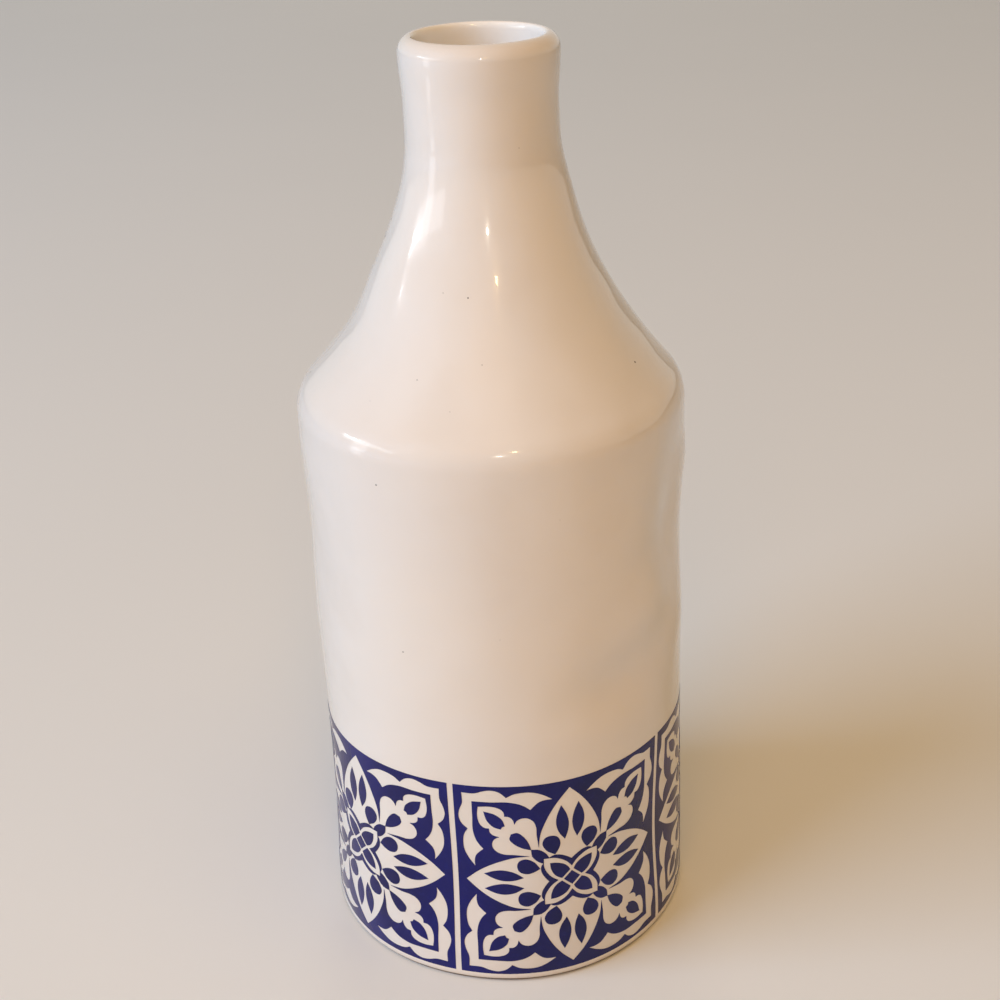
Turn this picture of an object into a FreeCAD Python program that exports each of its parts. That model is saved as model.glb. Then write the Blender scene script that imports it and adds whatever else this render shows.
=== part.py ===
import FreeCAD, Part
import math
import os
import Sketcher

# A slip-cast bottle vase: one clay wall turned about Z, glazed inside and out, and a row of square printed
# transfers fired on round the bottom. Millimetres. The origin is the centre of the foot ring's resting
# face, +Z runs up through the mouth, and the side that faces the viewer looks along -Y.

# The driving sizes. The glaze is fused to the clay, so the wall is measured over it.
SIZES = (
    ("overall_height", 290.0),      # table to the crest of the lip
    ("wall_radius", 60.0),          # the tall straight wall
    ("ridge_round", 12.0),          # where the wall turns into the shoulder
    ("shoulder_arc", 143.0),        # the long hollow sweep of the shoulder
    ("neck_arc", 51.0),             # the tighter sweep that ends it
    ("neck_turn", 15.0),            # degrees off upright where the two sweeps meet
    ("neck_radius", 22.3),
    ("neck_drop", 27.5),            # crest of the lip down to the end of the straight neck
    ("flare_drop", 19.0),           # crest of the lip down to where the neck starts to flare
    ("lip_flare", 0.75),            # how far the lip stands out from the neck
    ("lip_rise", 2.6),              # height of the rounded crest
    ("wall", 3.9),
    ("floor", 5.7),
    ("floor_bevel", 7.0),           # the corner between wall and floor, inside
    ("foot_width", 6.4),            # the ring that the vase stands on
    ("foot_recess", 2.6),           # depth of the hollow inside that ring
    ("recess_bevel", 1.2),          # the corner of that hollow
    ("foot_bevel", 0.7),            # the ring's two edges
    ("tile_count", 5),
    ("tile_bottom", 3.0),           # table to the printed row
    ("tile_size", 73.5),
    ("tile_gap", 1.9),              # plain glaze between two prints
    ("tile_azimuth", 18.6),         # degrees from the front to the middle of the first print
    ("film", 0.12),                 # thickness of a fired transfer
    ("film_clearance", 0.02),       # between its back and the glaze
)

# What follows from them.
DERIVED = (
    ("neck_height", "Sizes.overall_height - Sizes.neck_drop"),
    ("flare_height", "Sizes.overall_height - Sizes.flare_drop"),
    ("lip_round", "(Sizes.lip_flare + Sizes.wall) / 2"),
    ("lip_centre", "Sizes.neck_radius + Sizes.lip_flare - lip_round"),
    ("lip_height", "Sizes.overall_height - Sizes.lip_rise"),
    ("inner_radius", "Sizes.wall_radius - Sizes.wall"),
    ("hollow_radius", "Sizes.wall_radius - Sizes.foot_width"),
    ("floor_height", "Sizes.foot_recess + Sizes.floor"),
    ("tile_top", "Sizes.tile_bottom + Sizes.tile_size"),
    ("tile_back", "Sizes.wall_radius + Sizes.film_clearance"),
    ("tile_turn", "360 / Sizes.tile_count"),
    ("print_turn", "tile_turn - Sizes.tile_gap / Sizes.wall_radius * 180 / pi"),
)

OUTSIDE = "0"
INSIDE = "Sizes.wall"

START, END, CENTRE = 1, 2, 3
MAJOR_AXIS = 1                      # an ellipse's longer diameter is the next line that a sketch numbers
ORIGIN = (-1, 1)
FULL_TURN = 360
NEAR_SHARE = 1e-4

doc = FreeCAD.newDocument("bottle_vase")

sheet = doc.addObject("Spreadsheet::Sheet", "Sizes")
for row, (alias, value) in enumerate(SIZES, start=1):
    sheet.set(f"A{row}", alias)
    sheet.set(f"B{row}", str(value))
    sheet.setAlias(f"B{row}", alias)
doc.recompute()

form = doc.addObject("App::VarSet", "Form")
for name, expression in DERIVED:
    form.addProperty("App::PropertyFloat", name, "Outline")
    form.setExpression(name, expression)
doc.recompute()


def number(expression):
    """What an expression of the named sizes comes to now."""
    return float(form.evalExpression(expression))


class Outline:
    """A sketch in its body's upright plane, with radius across and height up. A run of it is (index,
    first, last), where first and last say which of its ends comes first on the way up."""

    def __init__(self, body, name):
        self.sketch = body.newObject("Sketcher::SketchObject", name)
        plane = next(item for item in body.Origin.OriginFeatures if item.Role == "XZ_Plane")
        self.sketch.AttachmentSupport = [(plane, "")]
        self.sketch.MapMode = "FlatFace"

    def line(self, start, end):
        points = [FreeCAD.Vector(x, y, 0) for x, y in (start, end)]
        return self.sketch.addGeometry(Part.LineSegment(*points), False), START, END

    def arc(self, centre, radius, first, last):
        """An arc from one angle to another, either way round."""
        circle = Part.Circle(FreeCAD.Vector(*centre, 0), FreeCAD.Vector(0, 0, 1), radius)
        arc = Part.ArcOfCircle(circle, min(first, last), max(first, last))
        index = self.sketch.addGeometry(arc, False)
        return (index, START, END) if first < last else (index, END, START)

    def crest(self, centre, half_width, rise):
        """The upper half of an upright ellipse, from its outer end over to its inner one."""
        top, side = [FreeCAD.Vector(x, y, 0) for x, y in (
            (centre[0], centre[1] + rise), (centre[0] + half_width, centre[1]))]
        ellipse = Part.Ellipse(top, side, FreeCAD.Vector(*centre, 0))
        index = self.sketch.addGeometry(Part.ArcOfEllipse(ellipse, -math.pi / 2, math.pi / 2), False)
        self.sketch.exposeInternalGeometry(index)
        return index, START, END

    def rule(self, *what):
        return self.sketch.addConstraint(Sketcher.Constraint(*what))

    def bind(self, expression, *what):
        """A constraint whose value follows the sheet."""
        index = self.rule(*what, number(expression))
        name = f"rule_{index}"
        self.sketch.renameConstraint(index, name)
        self.sketch.setExpression(f"Constraints.{name}", expression)

    def radius(self, run, expression):
        self.bind(expression, "Radius", run[0])

    def across(self, index, end, expression):
        self.bind(expression, "DistanceX", *ORIGIN, index, end)

    def up(self, index, end, expression):
        self.bind(expression, "DistanceY", *ORIGIN, index, end)

    def smooth(self, *runs):
        """Each run leads into the next with no corner."""
        for below, above in zip(runs, runs[1:]):
            self.rule("Tangent", below[0], below[2], above[0], above[1])

    def close(self, first, second):
        """A straight edge between two open ends, each an index and an end."""
        points = [self.sketch.getPoint(*end) for end in (first, second)]
        edge = self.line(*[(point.x, point.y) for point in points])
        self.rule("Coincident", edge[0], START, *first)
        self.rule("Coincident", edge[0], END, *second)
        return edge


def bottom_of(run):
    return run[0], run[1]


def top_of(run):
    return run[0], run[2]


def towards(start, end):
    """The angle of the way from one point to another."""
    return math.atan2(end[1] - start[1], end[0] - start[0])


def side(outline, depth, bottom):
    """The run from a height up to the straight neck that both skins of the wall have, at a depth in from
    the outside: the straight wall, the ridge, the long sweep of the shoulder and the tighter one into
    the neck. Only the first and the last are returned."""
    inset = number(depth)
    ridge = number("Sizes.ridge_round")
    long_arc = number("Sizes.shoulder_arc")
    short_arc = number("Sizes.neck_arc")
    turn = math.radians(number("Sizes.neck_turn"))
    wall_radius = number("Sizes.wall_radius")
    neck_centre = (number("Sizes.neck_radius") + short_arc, number("Form.neck_height"))
    apart = long_arc - short_arc
    long_centre = (neck_centre[0] + apart * math.cos(turn), neck_centre[1] + apart * math.sin(turn))
    aside = long_centre[0] - wall_radius + ridge
    ridge_height = long_centre[1] - math.sqrt((long_arc + ridge) ** 2 - aside ** 2)
    ridge_centre = (wall_radius - ridge, ridge_height)
    ridge_end = towards(ridge_centre, long_centre)

    wall = outline.line((wall_radius - inset, number(bottom)), (wall_radius - inset, ridge_height))
    bend = outline.arc(ridge_centre, ridge - inset, 0, ridge_end)
    sweep = outline.arc(long_centre, long_arc + inset, ridge_end + math.pi, math.pi + turn)
    throat = outline.arc(neck_centre, short_arc + inset, math.pi + turn, math.pi)
    outline.smooth(wall, bend, sweep, throat)
    outline.rule("Vertical", wall[0])
    outline.across(*bottom_of(wall), f"Sizes.wall_radius - {depth}")
    outline.up(*bottom_of(wall), bottom)
    outline.radius(bend, f"Sizes.ridge_round - {depth}")
    outline.radius(sweep, f"Sizes.shoulder_arc + {depth}")
    outline.radius(throat, f"Sizes.neck_arc + {depth}")
    drop = f"(Sizes.neck_arc + {depth}) * sin(Sizes.neck_turn * 1 deg)"
    outline.up(*bottom_of(throat), f"Form.neck_height - {drop}")
    outline.up(*top_of(throat), "Form.neck_height")
    return wall, throat


def outside(outline):
    """The outer skin, from the table over the crest of the lip to the top of the bore."""
    radius = number("Sizes.neck_radius")
    flare_height = number("Form.flare_height")
    lip_radius = number("Sizes.neck_radius + Sizes.lip_flare")
    lip_centre = (number("Form.lip_centre"), number("Form.lip_height"))

    wall, throat = side(outline, OUTSIDE, "0")
    neck = outline.line((radius, number("Form.neck_height")), (radius, flare_height))
    flare = outline.line((radius, flare_height), (lip_radius, lip_centre[1]))
    crest = outline.crest(lip_centre, number("Form.lip_round"), number("Sizes.lip_rise"))
    outline.smooth(throat, neck)
    outline.rule("Coincident", *top_of(neck), *bottom_of(flare))
    outline.rule("Coincident", *top_of(flare), *bottom_of(crest))
    outline.rule("Vertical", neck[0])
    outline.across(neck[0], START, "Sizes.neck_radius")
    outline.up(*top_of(neck), "Form.flare_height")
    outline.across(crest[0], CENTRE, "Form.lip_centre")
    outline.up(crest[0], CENTRE, "Form.lip_height")
    outline.rule("Vertical", crest[0] + MAJOR_AXIS)
    outline.bind("2 * Sizes.lip_rise", "Distance", crest[0] + MAJOR_AXIS)
    outline.across(*bottom_of(crest), "Sizes.neck_radius + Sizes.lip_flare")
    outline.up(*bottom_of(crest), "Form.lip_height")
    outline.up(*top_of(crest), "Form.lip_height")
    return wall, crest


def inside(outline):
    """The inner skin, from the middle of the floor to the top of the bore."""
    bevel = number("Sizes.floor_bevel")
    level = number("Form.floor_height")
    reach = number("Form.inner_radius")
    bore_radius = number("Sizes.neck_radius - Sizes.wall")

    flat = outline.line((0, level), (reach - bevel, level))
    corner = outline.line((reach - bevel, level), (reach, level + bevel))
    wall, throat = side(outline, INSIDE, "Form.floor_height + Sizes.floor_bevel")
    bore = outline.line((bore_radius, number("Form.neck_height")), (bore_radius, number("Form.lip_height")))
    outline.rule("Coincident", *top_of(flat), *bottom_of(corner))
    outline.rule("Coincident", *top_of(corner), *bottom_of(wall))
    outline.smooth(throat, bore)
    outline.rule("Horizontal", flat[0])
    outline.across(*bottom_of(flat), "0")
    outline.up(*bottom_of(flat), "Form.floor_height")
    outline.across(*top_of(flat), "Form.inner_radius - Sizes.floor_bevel")
    outline.rule("Vertical", bore[0])
    return flat, bore


def new_body(label):
    body = doc.addObject("PartDesign::Body", label)
    body.Label = label
    return body


def revolve(kind, body, outline, name):
    """Turn an outline about the vase's axis, as a solid of the body or a cut in it."""
    feature = body.newObject(kind, name)
    feature.Profile = outline.sketch
    feature.ReferenceAxis = (outline.sketch, ["V_Axis"])
    feature.Angle = FULL_TURN
    body.Tip = feature
    doc.recompute()
    return feature


def ring_edges(shape, radius, height):
    """The names of the circles about Z with this radius at this height."""
    found = []
    for index, edge in enumerate(shape.Edges, start=1):
        if not isinstance(edge.Curve, Part.Circle):
            continue
        miss = math.hypot(edge.Curve.Radius - radius, edge.Curve.Center.z - height)
        if miss < NEAR_SHARE * radius:
            found.append(f"Edge{index}")
    return found


def bevel_ring(body, name, radius, height, expression):
    """Bevel the body's ring edge of this radius and height."""
    solid = body.Tip
    bevel = body.newObject("PartDesign::Chamfer", name)
    bevel.Base = (solid, ring_edges(solid.Shape, number(radius), number(height)))
    bevel.setExpression("Size", expression)
    body.Tip = bevel
    doc.recompute()


def hollow_outline(body):
    """The hollow under the floor, inside the foot ring."""
    outline = Outline(body, "hollow_section")
    reach = number("Form.hollow_radius")
    level = number("Sizes.foot_recess")
    ceiling = outline.line((0, level), (reach, level))
    ring = outline.line((reach, 0), (reach, level))
    outline.rule("Coincident", *top_of(ceiling), *top_of(ring))
    outline.rule("Horizontal", ceiling[0])
    outline.rule("Vertical", ring[0])
    outline.across(*bottom_of(ceiling), "0")
    outline.up(*bottom_of(ceiling), "Sizes.foot_recess")
    outline.across(*bottom_of(ring), "Form.hollow_radius")
    outline.up(*bottom_of(ring), "0")
    outline.close(ORIGIN, bottom_of(ceiling))
    outline.close(ORIGIN, bottom_of(ring))
    return outline


def vase_body():
    """The glazed clay: one wall from the foot ring over the lip and down to the floor."""
    body = new_body("vase_body")
    section = Outline(body, "wall_section")
    wall, crest = outside(section)
    floor, bore = inside(section)
    section.rule("Coincident", *top_of(crest), *top_of(bore))
    section.close(ORIGIN, bottom_of(wall))
    section.close(ORIGIN, bottom_of(floor))
    revolve("PartDesign::Revolution", body, section, "turned_wall")
    revolve("PartDesign::Groove", body, hollow_outline(body), "foot_hollow")
    bevel_ring(body, "hollow_corner", "Form.hollow_radius", "Sizes.foot_recess", "Sizes.recess_bevel")
    bevel_ring(body, "ring_inside", "Form.hollow_radius", "0", "Sizes.foot_bevel")
    bevel_ring(body, "ring_outside", "Sizes.wall_radius", "0", "Sizes.foot_bevel")
    return body


def tile_transfer(place):
    """One printed square, wrapped on the glaze and turned to its place in the row."""
    body = new_body(f"tile_transfer_{place}")
    section = Outline(body, f"film_section_{place}")
    runs = []
    for radius in ("Form.tile_back", "Form.tile_back + Sizes.film"):
        ends = [(number(radius), number(height)) for height in ("Sizes.tile_bottom", "Form.tile_top")]
        run = section.line(*ends)
        section.rule("Vertical", run[0])
        section.across(*bottom_of(run), radius)
        section.up(*bottom_of(run), "Sizes.tile_bottom")
        section.up(*top_of(run), "Form.tile_top")
        runs.append(run)
    back, front = runs
    section.close(bottom_of(back), bottom_of(front))
    section.close(top_of(back), top_of(front))
    film = revolve("PartDesign::Revolution", body, section, f"turned_film_{place}")
    film.Midplane = True
    film.setExpression("Angle", "Form.print_turn")
    body.Placement = FreeCAD.Placement(FreeCAD.Vector(), FreeCAD.Rotation(FreeCAD.Vector(0, 0, 1), 1))
    body.setExpression("Placement.Rotation.Angle",
                       f"Sizes.tile_azimuth + Form.tile_turn * {place - 1} - 90")
    doc.recompute()
    return body


bodies = [vase_body()]
bodies += [tile_transfer(place) for place in range(1, int(number("Sizes.tile_count")) + 1)]
doc.recompute()

for item in doc.Objects:
    if {"Invalid", "Error"} & set(item.State):
        raise RuntimeError(f"{item.Label} failed: {item.State}")
for body in bodies:
    if body.Shape.isNull() or not body.Shape.isValid():
        raise RuntimeError(f"{body.Label} has no valid shape")

os.makedirs("parts", exist_ok=True)
for body in bodies:
    body.Shape.exportStep(os.path.join("parts", f"{body.Label}.step"))
    box = body.Shape.optimalBoundingBox()
    print(f"{body.Label}: {len(body.Shape.Solids)} solid, {body.Shape.Volume / 1000:.2f} cm3, "
          f"{box.XLength:.2f} x {box.YLength:.2f} x {box.ZLength:.2f} from {box.ZMin:.2f}")
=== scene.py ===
# %% [markdown]
# A glazed bottle vase with a printed row of tiles
#
# The real vase is slip-cast stoneware: one hollow wall under a thick white glaze, with five square blue
# transfers fired on round the bottom. The measured solids come first, and everything below is drawn
# around them. They set the sizes, and this file adds what a solid can't show: the hand-made waviness of
# the wall, the ornament, the glaze and its flaws, and the bare clay of the foot.

import math
import random

import bmesh
import bpy
import numpy as np
from mathutils import Matrix, Vector
from mathutils.geometry import delaunay_2d_cdt


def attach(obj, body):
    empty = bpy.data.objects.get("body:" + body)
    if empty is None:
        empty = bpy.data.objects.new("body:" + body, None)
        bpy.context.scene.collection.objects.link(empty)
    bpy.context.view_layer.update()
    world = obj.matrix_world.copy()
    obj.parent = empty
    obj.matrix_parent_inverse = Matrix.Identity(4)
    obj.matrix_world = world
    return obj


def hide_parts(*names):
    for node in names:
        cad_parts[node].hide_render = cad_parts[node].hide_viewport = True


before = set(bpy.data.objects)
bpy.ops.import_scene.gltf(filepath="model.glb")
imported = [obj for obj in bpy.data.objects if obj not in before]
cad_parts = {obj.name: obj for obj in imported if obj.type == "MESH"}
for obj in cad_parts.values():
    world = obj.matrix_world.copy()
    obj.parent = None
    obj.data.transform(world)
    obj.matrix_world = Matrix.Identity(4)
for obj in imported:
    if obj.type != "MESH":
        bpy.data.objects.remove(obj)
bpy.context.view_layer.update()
MM = 0.001                          # lengths below are written in millimetres

# %% [markdown]
# The camera
#
# The photograph looks down on the vase from about a forearm's length. The camera's place was worked out
# from the ovals of the rim, of the printed row and of the foot, which all have to come from one vase of
# 290 mm, and it is set here as a place, three angles and a lens.

# %% Camera
CAMERA_PLACE = Vector((0, -451.6, 364.0)) * MM
CAMERA_PITCH, CAMERA_YAW, CAMERA_ROLL = (math.radians(angle) for angle in (25.89, 0.16, -2.14))
FOCAL_PIXELS, IMAGE_PIXELS, SENSOR_MM = 1572, 1000, 36


def camera_axes():
    """The camera's right, up and backward directions."""
    ahead = Vector((math.sin(CAMERA_YAW) * math.cos(CAMERA_PITCH),
                    math.cos(CAMERA_YAW) * math.cos(CAMERA_PITCH), -math.sin(CAMERA_PITCH)))
    level = Vector((math.cos(CAMERA_YAW), -math.sin(CAMERA_YAW), 0))
    upright = level.cross(ahead)
    right = level * math.cos(CAMERA_ROLL) + upright * math.sin(CAMERA_ROLL)
    up = upright * math.cos(CAMERA_ROLL) - level * math.sin(CAMERA_ROLL)
    return right, up, -ahead


scene = bpy.context.scene
lens = bpy.data.cameras.new("camera")
lens.sensor_width = SENSOR_MM
lens.lens = FOCAL_PIXELS * SENSOR_MM / IMAGE_PIXELS
camera = bpy.data.objects.new("camera", lens)
camera.matrix_world = Matrix.Translation(CAMERA_PLACE) @ Matrix(camera_axes()).transposed().to_4x4()
scene.collection.objects.link(camera)
scene.camera = camera
print("camera at", [round(value, 4) for value in camera.matrix_world.translation],
      "lens", round(lens.lens, 2))

# %% [markdown]
# Helpers for node trees
#
# Materials and Geometry Nodes are both trees, so one small function adds any node with its settings and
# its links. An input is given a plain number, a vector, another node or one of its output sockets. A
# second function starts a Geometry Nodes tree with named inputs, so that its sizes are set from outside.

# %% One function adds a node
MATH, VECTOR_MATH, RANGE = "ShaderNodeMath", "ShaderNodeVectorMath", "ShaderNodeMapRange"
NOISE, BUMP = "ShaderNodeTexNoise", "ShaderNodeBump"


def add(tree, kind, inputs=(), **settings):
    """Add a node, set its properties and fill its inputs, given in their order or by name."""
    node = tree.nodes.new(kind)
    for name, value in settings.items():
        setattr(node, name, value)
    for key, value in inputs.items() if isinstance(inputs, dict) else enumerate(inputs):
        if isinstance(value, bpy.types.Node):
            value = value.outputs[0]
        if isinstance(value, bpy.types.NodeSocket):
            tree.links.new(value, node.inputs[key])
        else:
            node.inputs[key].default_value = value
    return node


def new_tree(name, inputs, outputs):
    """A Geometry Nodes tree whose inputs and outputs are each a name, a socket kind and a default."""
    tree = bpy.data.node_groups.new(name, "GeometryNodeTree")
    for direction, sockets in (("INPUT", inputs), ("OUTPUT", outputs)):
        for label, kind, *default in sockets:
            item = tree.interface.new_socket(label, in_out=direction, socket_type="NodeSocket" + kind)
            if default:
                item.default_value = default[0]
    return tree, tree.nodes.new("NodeGroupInput"), tree.nodes.new("NodeGroupOutput")


print("helpers", add.__name__, new_tree.__name__)

# %% [markdown]
# Colour and the white glaze
#
# The body is a tin-white glaze over stoneware: glassy, a little uneven where it ran, warmer where it is
# thin over the lip and the foot, and cloudy rather than pure white. Inside the neck it is whitened, which
# is painted light that lifts the shade in the bore. The gloss comes from a smooth clear coat, and the soft
# wobble of its reflections from a bump a few millimetres wide, as on any brushed or poured glaze.

# %% Hex colours, and a material to start from


def linear(code):
    """An sRGB hex value as linear light."""
    parts = [int(code[start:start + 2], 16) / 255 for start in (1, 3, 5)]
    return (*[part / 12.92 if part <= 0.04045 else ((part + 0.055) / 1.055) ** 2.4 for part in parts], 1)


def cells(size):
    """The scale of a pattern whose cells are this many millimetres across."""
    return 1 / (size * MM)


def new_material(name):
    """An empty material, its tree, and the place on the piece that its patterns are laid by."""
    material = bpy.data.materials.new(name)
    material.use_nodes = True
    tree = material.node_tree
    tree.nodes.clear()
    return material, tree, add(tree, "ShaderNodeTexCoord").outputs["Object"]


def close_material(tree, **inputs):
    """End a material in its one shader. Its inputs are written with _ for a space."""
    named = {name.replace("_", " "): value for name, value in inputs.items()}
    surface = add(tree, "ShaderNodeBsdfPrincipled", named)
    add(tree, "ShaderNodeOutputMaterial", {"Surface": surface})


def paint(tree, ground, *coats):
    """A ground colour under coats. Each is a value, the level of it where the coat begins, the level
    where it is full, its share there, and its colour."""
    colour = linear(ground)
    for value, begins, full, most, coat in coats:
        share = add(tree, RANGE, {"Value": value, "From Min": begins, "From Max": full, "To Max": most})
        # the Mix node has sockets for every kind of value, and its colours are the numbers 6, 7 and 2
        mix = add(tree, "ShaderNodeMix", {0: share, 6: colour, 7: linear(coat)}, data_type="RGBA")
        colour = mix.outputs[2]
    return colour


print("white is", [round(part, 3) for part in linear("#FFFFFF")])

# %% The white glaze
GLAZE_WHITE, GLAZE_THIN, GLAZE_CLOUD, GLAZE_BORE_PAINTED_LIGHT = "#ECE2D6", "#DBCBB8", "#E3DBD3", "#FBF6EE"
CLOUD_COAT = (0.35, 0.68, 0.7, GLAZE_CLOUD)
RUN_COAT = (0.52, 0.75, 0.22, GLAZE_THIN)
LIP_COAT = (286.5 * MM, 290.2 * MM, 0.35, GLAZE_THIN)
# painted light: the glaze inside the neck is whitened so that the shaded bore looks as bright as the lit
# outside
BORE_PAINTED_LIGHT_COAT = (19.6 * MM, 18.8 * MM, 1.0, GLAZE_BORE_PAINTED_LIGHT)
FOOT_COAT = (3.5 * MM, 1.2 * MM, 0.8, GLAZE_THIN)
RUN_SIZE, CLOUD_SIZE, GLOSS_SIZE = 34.0, 90.0, 18.0     # millimetres across one run, cloud and dull patch
PEEL_SIZE, PEEL_DEPTH, PEEL_STRENGTH = 7.0, 0.4, 0.10   # the fine ripple, as on the peel of an orange
SLOW_SIZE, SLOW_DEPTH, SLOW_STRENGTH = 28.0, 2.0, 0.5   # the slow wave of a poured coat
GLAZE_IOR, GLAZE_SHINY, GLAZE_DULL = 1.5, 0.12, 0.22    # glass, and its roughness from patch to patch
SHINY_UNTIL, DULL_FROM = 0.3, 0.8                       # levels of the noise
COAT_WEIGHT, COAT_ROUGHNESS = 0.8, 0.03


def make_white_glaze():
    material, tree, where = new_material("white_tin_glaze_poured")
    place = add(tree, "ShaderNodeSeparateXYZ", (where,))
    height = place.outputs["Z"]
    level = add(tree, "ShaderNodeCombineXYZ", (place.outputs["X"], place.outputs["Y"]))
    reach = add(tree, VECTOR_MATH, (level,), operation="LENGTH").outputs["Value"]
    clouds = add(tree, NOISE, {"Vector": where, "Scale": cells(CLOUD_SIZE)})
    runs = add(tree, NOISE, {"Vector": where, "Scale": cells(RUN_SIZE), "Detail": 4.0})
    # the coat by reach from the axis is painted light, whitening the inside of the neck
    colour = paint(tree, GLAZE_WHITE, (clouds, *CLOUD_COAT), (runs, *RUN_COAT), (height, *LIP_COAT),
                   (reach, *BORE_PAINTED_LIGHT_COAT), (height, *FOOT_COAT))
    patches = add(tree, NOISE, {"Vector": where, "Scale": cells(GLOSS_SIZE), "Detail": 3.0})
    gloss = add(tree, RANGE, {"Value": patches, "From Min": SHINY_UNTIL, "From Max": DULL_FROM,
                              "To Min": GLAZE_SHINY, "To Max": GLAZE_DULL})
    ripple = add(tree, NOISE, {"Vector": where, "Scale": cells(PEEL_SIZE), "Detail": 1.0})
    wave = add(tree, NOISE, {"Vector": where, "Scale": cells(SLOW_SIZE), "Detail": 1.0})
    peel = add(tree, BUMP, {"Height": ripple, "Strength": PEEL_STRENGTH, "Distance": PEEL_DEPTH * MM})
    slow = add(tree, BUMP, {"Height": wave, "Strength": SLOW_STRENGTH, "Distance": SLOW_DEPTH * MM,
                            "Normal": peel})
    close_material(tree, Base_Color=colour, Roughness=gloss, IOR=GLAZE_IOR, Normal=slow, Coat_Normal=slow,
                   Coat_Weight=COAT_WEIGHT, Coat_Roughness=COAT_ROUGHNESS)
    return material


white_glaze = make_white_glaze()
print("glaze", white_glaze.name, "IOR", GLAZE_IOR)

# %% [markdown]
# The bare foot
#
# A pot sticks to the kiln shelf if its foot is glazed, so a ring is wiped clean. The clay there is matt,
# buff, and speckled with grit and with what it picked up from the shelf.

# %% Bare stoneware
CLAY_BUFF, CLAY_DARK, CLAY_GRIT = "#8C7A66", "#5F5145", "#3B332D"
STAIN_COAT, GRIT_COAT = (0.4, 0.7, 1.0, CLAY_DARK), (0.6, 0.72, 1.0, CLAY_GRIT)
STAIN_SIZE = 9.0                    # millimetres
GRIT_SIZE = 0.7                     # real grit is 0.2 to 0.5 mm; drawn a little coarser so that it shows
GRIT_DEPTH, GRIT_STRENGTH, CLAY_ROUGHNESS = 0.3, 0.6, 0.9


def make_bare_clay():
    material, tree, where = new_material("bare_stoneware_wiped")
    stain = add(tree, NOISE, {"Vector": where, "Scale": cells(STAIN_SIZE), "Detail": 4.0})
    grain = add(tree, NOISE, {"Vector": where, "Scale": cells(GRIT_SIZE), "Detail": 3.0, "Roughness": 0.7})
    colour = paint(tree, CLAY_BUFF, (stain, *STAIN_COAT), (grain, *GRIT_COAT))
    rough = add(tree, BUMP, {"Height": grain, "Strength": GRIT_STRENGTH, "Distance": GRIT_DEPTH * MM})
    close_material(tree, Base_Color=colour, Roughness=CLAY_ROUGHNESS, Normal=rough)
    return material


bare_clay = make_bare_clay()
print("foot", bare_clay.name)

# %% [markdown]
# The wall's section
#
# The solid has a straight wall. The real one has a slight waist above the printed row and swells to the
# foot, as clay does when it dries on a board. The section is a chain of arcs, like the drawing a mould
# maker turns a plaster form from, so it is written as arcs and turned round the axis afterwards.

# %% Sizes of the section
TOP = 290.0
WALL_RADIUS, RIDGE_ROUND, SHOULDER_ARC, NECK_ARC = 60.0, 12.0, 143.0, 51.0
NECK_TURN = math.radians(15)
NECK_RADIUS, NECK_TOP, FLARE_TOP = 22.3, 262.5, 271.0
LIP_FLARE, LIP_RISE, LIP_LEAN, WALL = 0.75, 4.3, 1.1, 3.9   # the crest leans in over the bore
FLOOR_LEVEL, FLOOR_CORNER, RECESS, RECESS_CORNER = 8.3, 7.0, 2.6, 1.2
FOOT_INSIDE, WALL_START = 53.6, 3.4
FOOT_RING = ((FOOT_INSIDE, 0.7), (FOOT_INSIDE + 0.25, 0.2), (FOOT_INSIDE + 0.8, 0.0), (56.5, 0.0),
             (58.7, 0.0), (59.35, 0.12), (59.7, 0.4), (59.8, 0.8), (59.85, 1.15))
GLAZE_ROLL = ((60.15, 1.2), (60.45, 1.5), (60.62, 2.0), (60.7, 2.6))   # the glaze's thick lower edge
WAIST = ((0, 0.1), (3, 0.7), (40, 0.25), (76.5, -0.6), (99, -0.7), (140, -0.4), (175, -0.1), (190, 0))
WAIST_SOFT, WAIST_SAMPLES = 9.0, 181        # the waist's corners are softened over this far, up and down
ROW_STEP, BORE_STEP, HIDDEN_STEP, CORNER_STEP = 1.6, 3.0, 4.0, 0.4     # from one point to the next
FLARE_ROWS, LIP_ROWS = 9, 21


def towards(start, end):
    """The angle at which the end is seen from the start."""
    return math.atan2(end[1] - start[1], end[0] - start[0])


def arc(centre, radius, first, last, step=ROW_STEP):
    """Points along an arc, from one angle to the other, a step apart."""
    count = max(3, round(abs(last - first) * radius / step))
    return [(centre[0] + radius * math.cos(angle), centre[1] + radius * math.sin(angle))
            for angle in np.linspace(first, last, count + 1)]


def run(start, end, step=ROW_STEP):
    """Points along a straight run, without its last."""
    count = max(1, round(math.dist(start, end) / step))
    return [tuple(np.array(start) + (np.array(end) - start) * share) for share in np.arange(count) / count]


print("wall", 2 * WALL_RADIUS, "mm across,", TOP, "mm high")

# %% The wall's two skins, and the waist


def skin(inset, bottom):
    """One skin of the wall from a height up to the straight neck, at a depth in from the outside."""
    neck_centre = (NECK_RADIUS + NECK_ARC, NECK_TOP)
    apart = SHOULDER_ARC - NECK_ARC
    long_centre = (neck_centre[0] + apart * math.cos(NECK_TURN),
                   neck_centre[1] + apart * math.sin(NECK_TURN))
    aside = long_centre[0] - WALL_RADIUS + RIDGE_ROUND
    ridge_height = long_centre[1] - math.sqrt((SHOULDER_ARC + RIDGE_ROUND) ** 2 - aside ** 2)
    ridge_centre = (WALL_RADIUS - RIDGE_ROUND, ridge_height)
    lean = towards(ridge_centre, long_centre)
    return (run((WALL_RADIUS - inset, bottom), (WALL_RADIUS - inset, ridge_height))
            + arc(ridge_centre, RIDGE_ROUND - inset, 0, lean, ROW_STEP / 2)
            + arc(long_centre, SHOULDER_ARC + inset, lean + math.pi, math.pi + NECK_TURN)[1:]
            + arc(neck_centre, NECK_ARC + inset, math.pi + NECK_TURN, math.pi)[1:])


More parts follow.
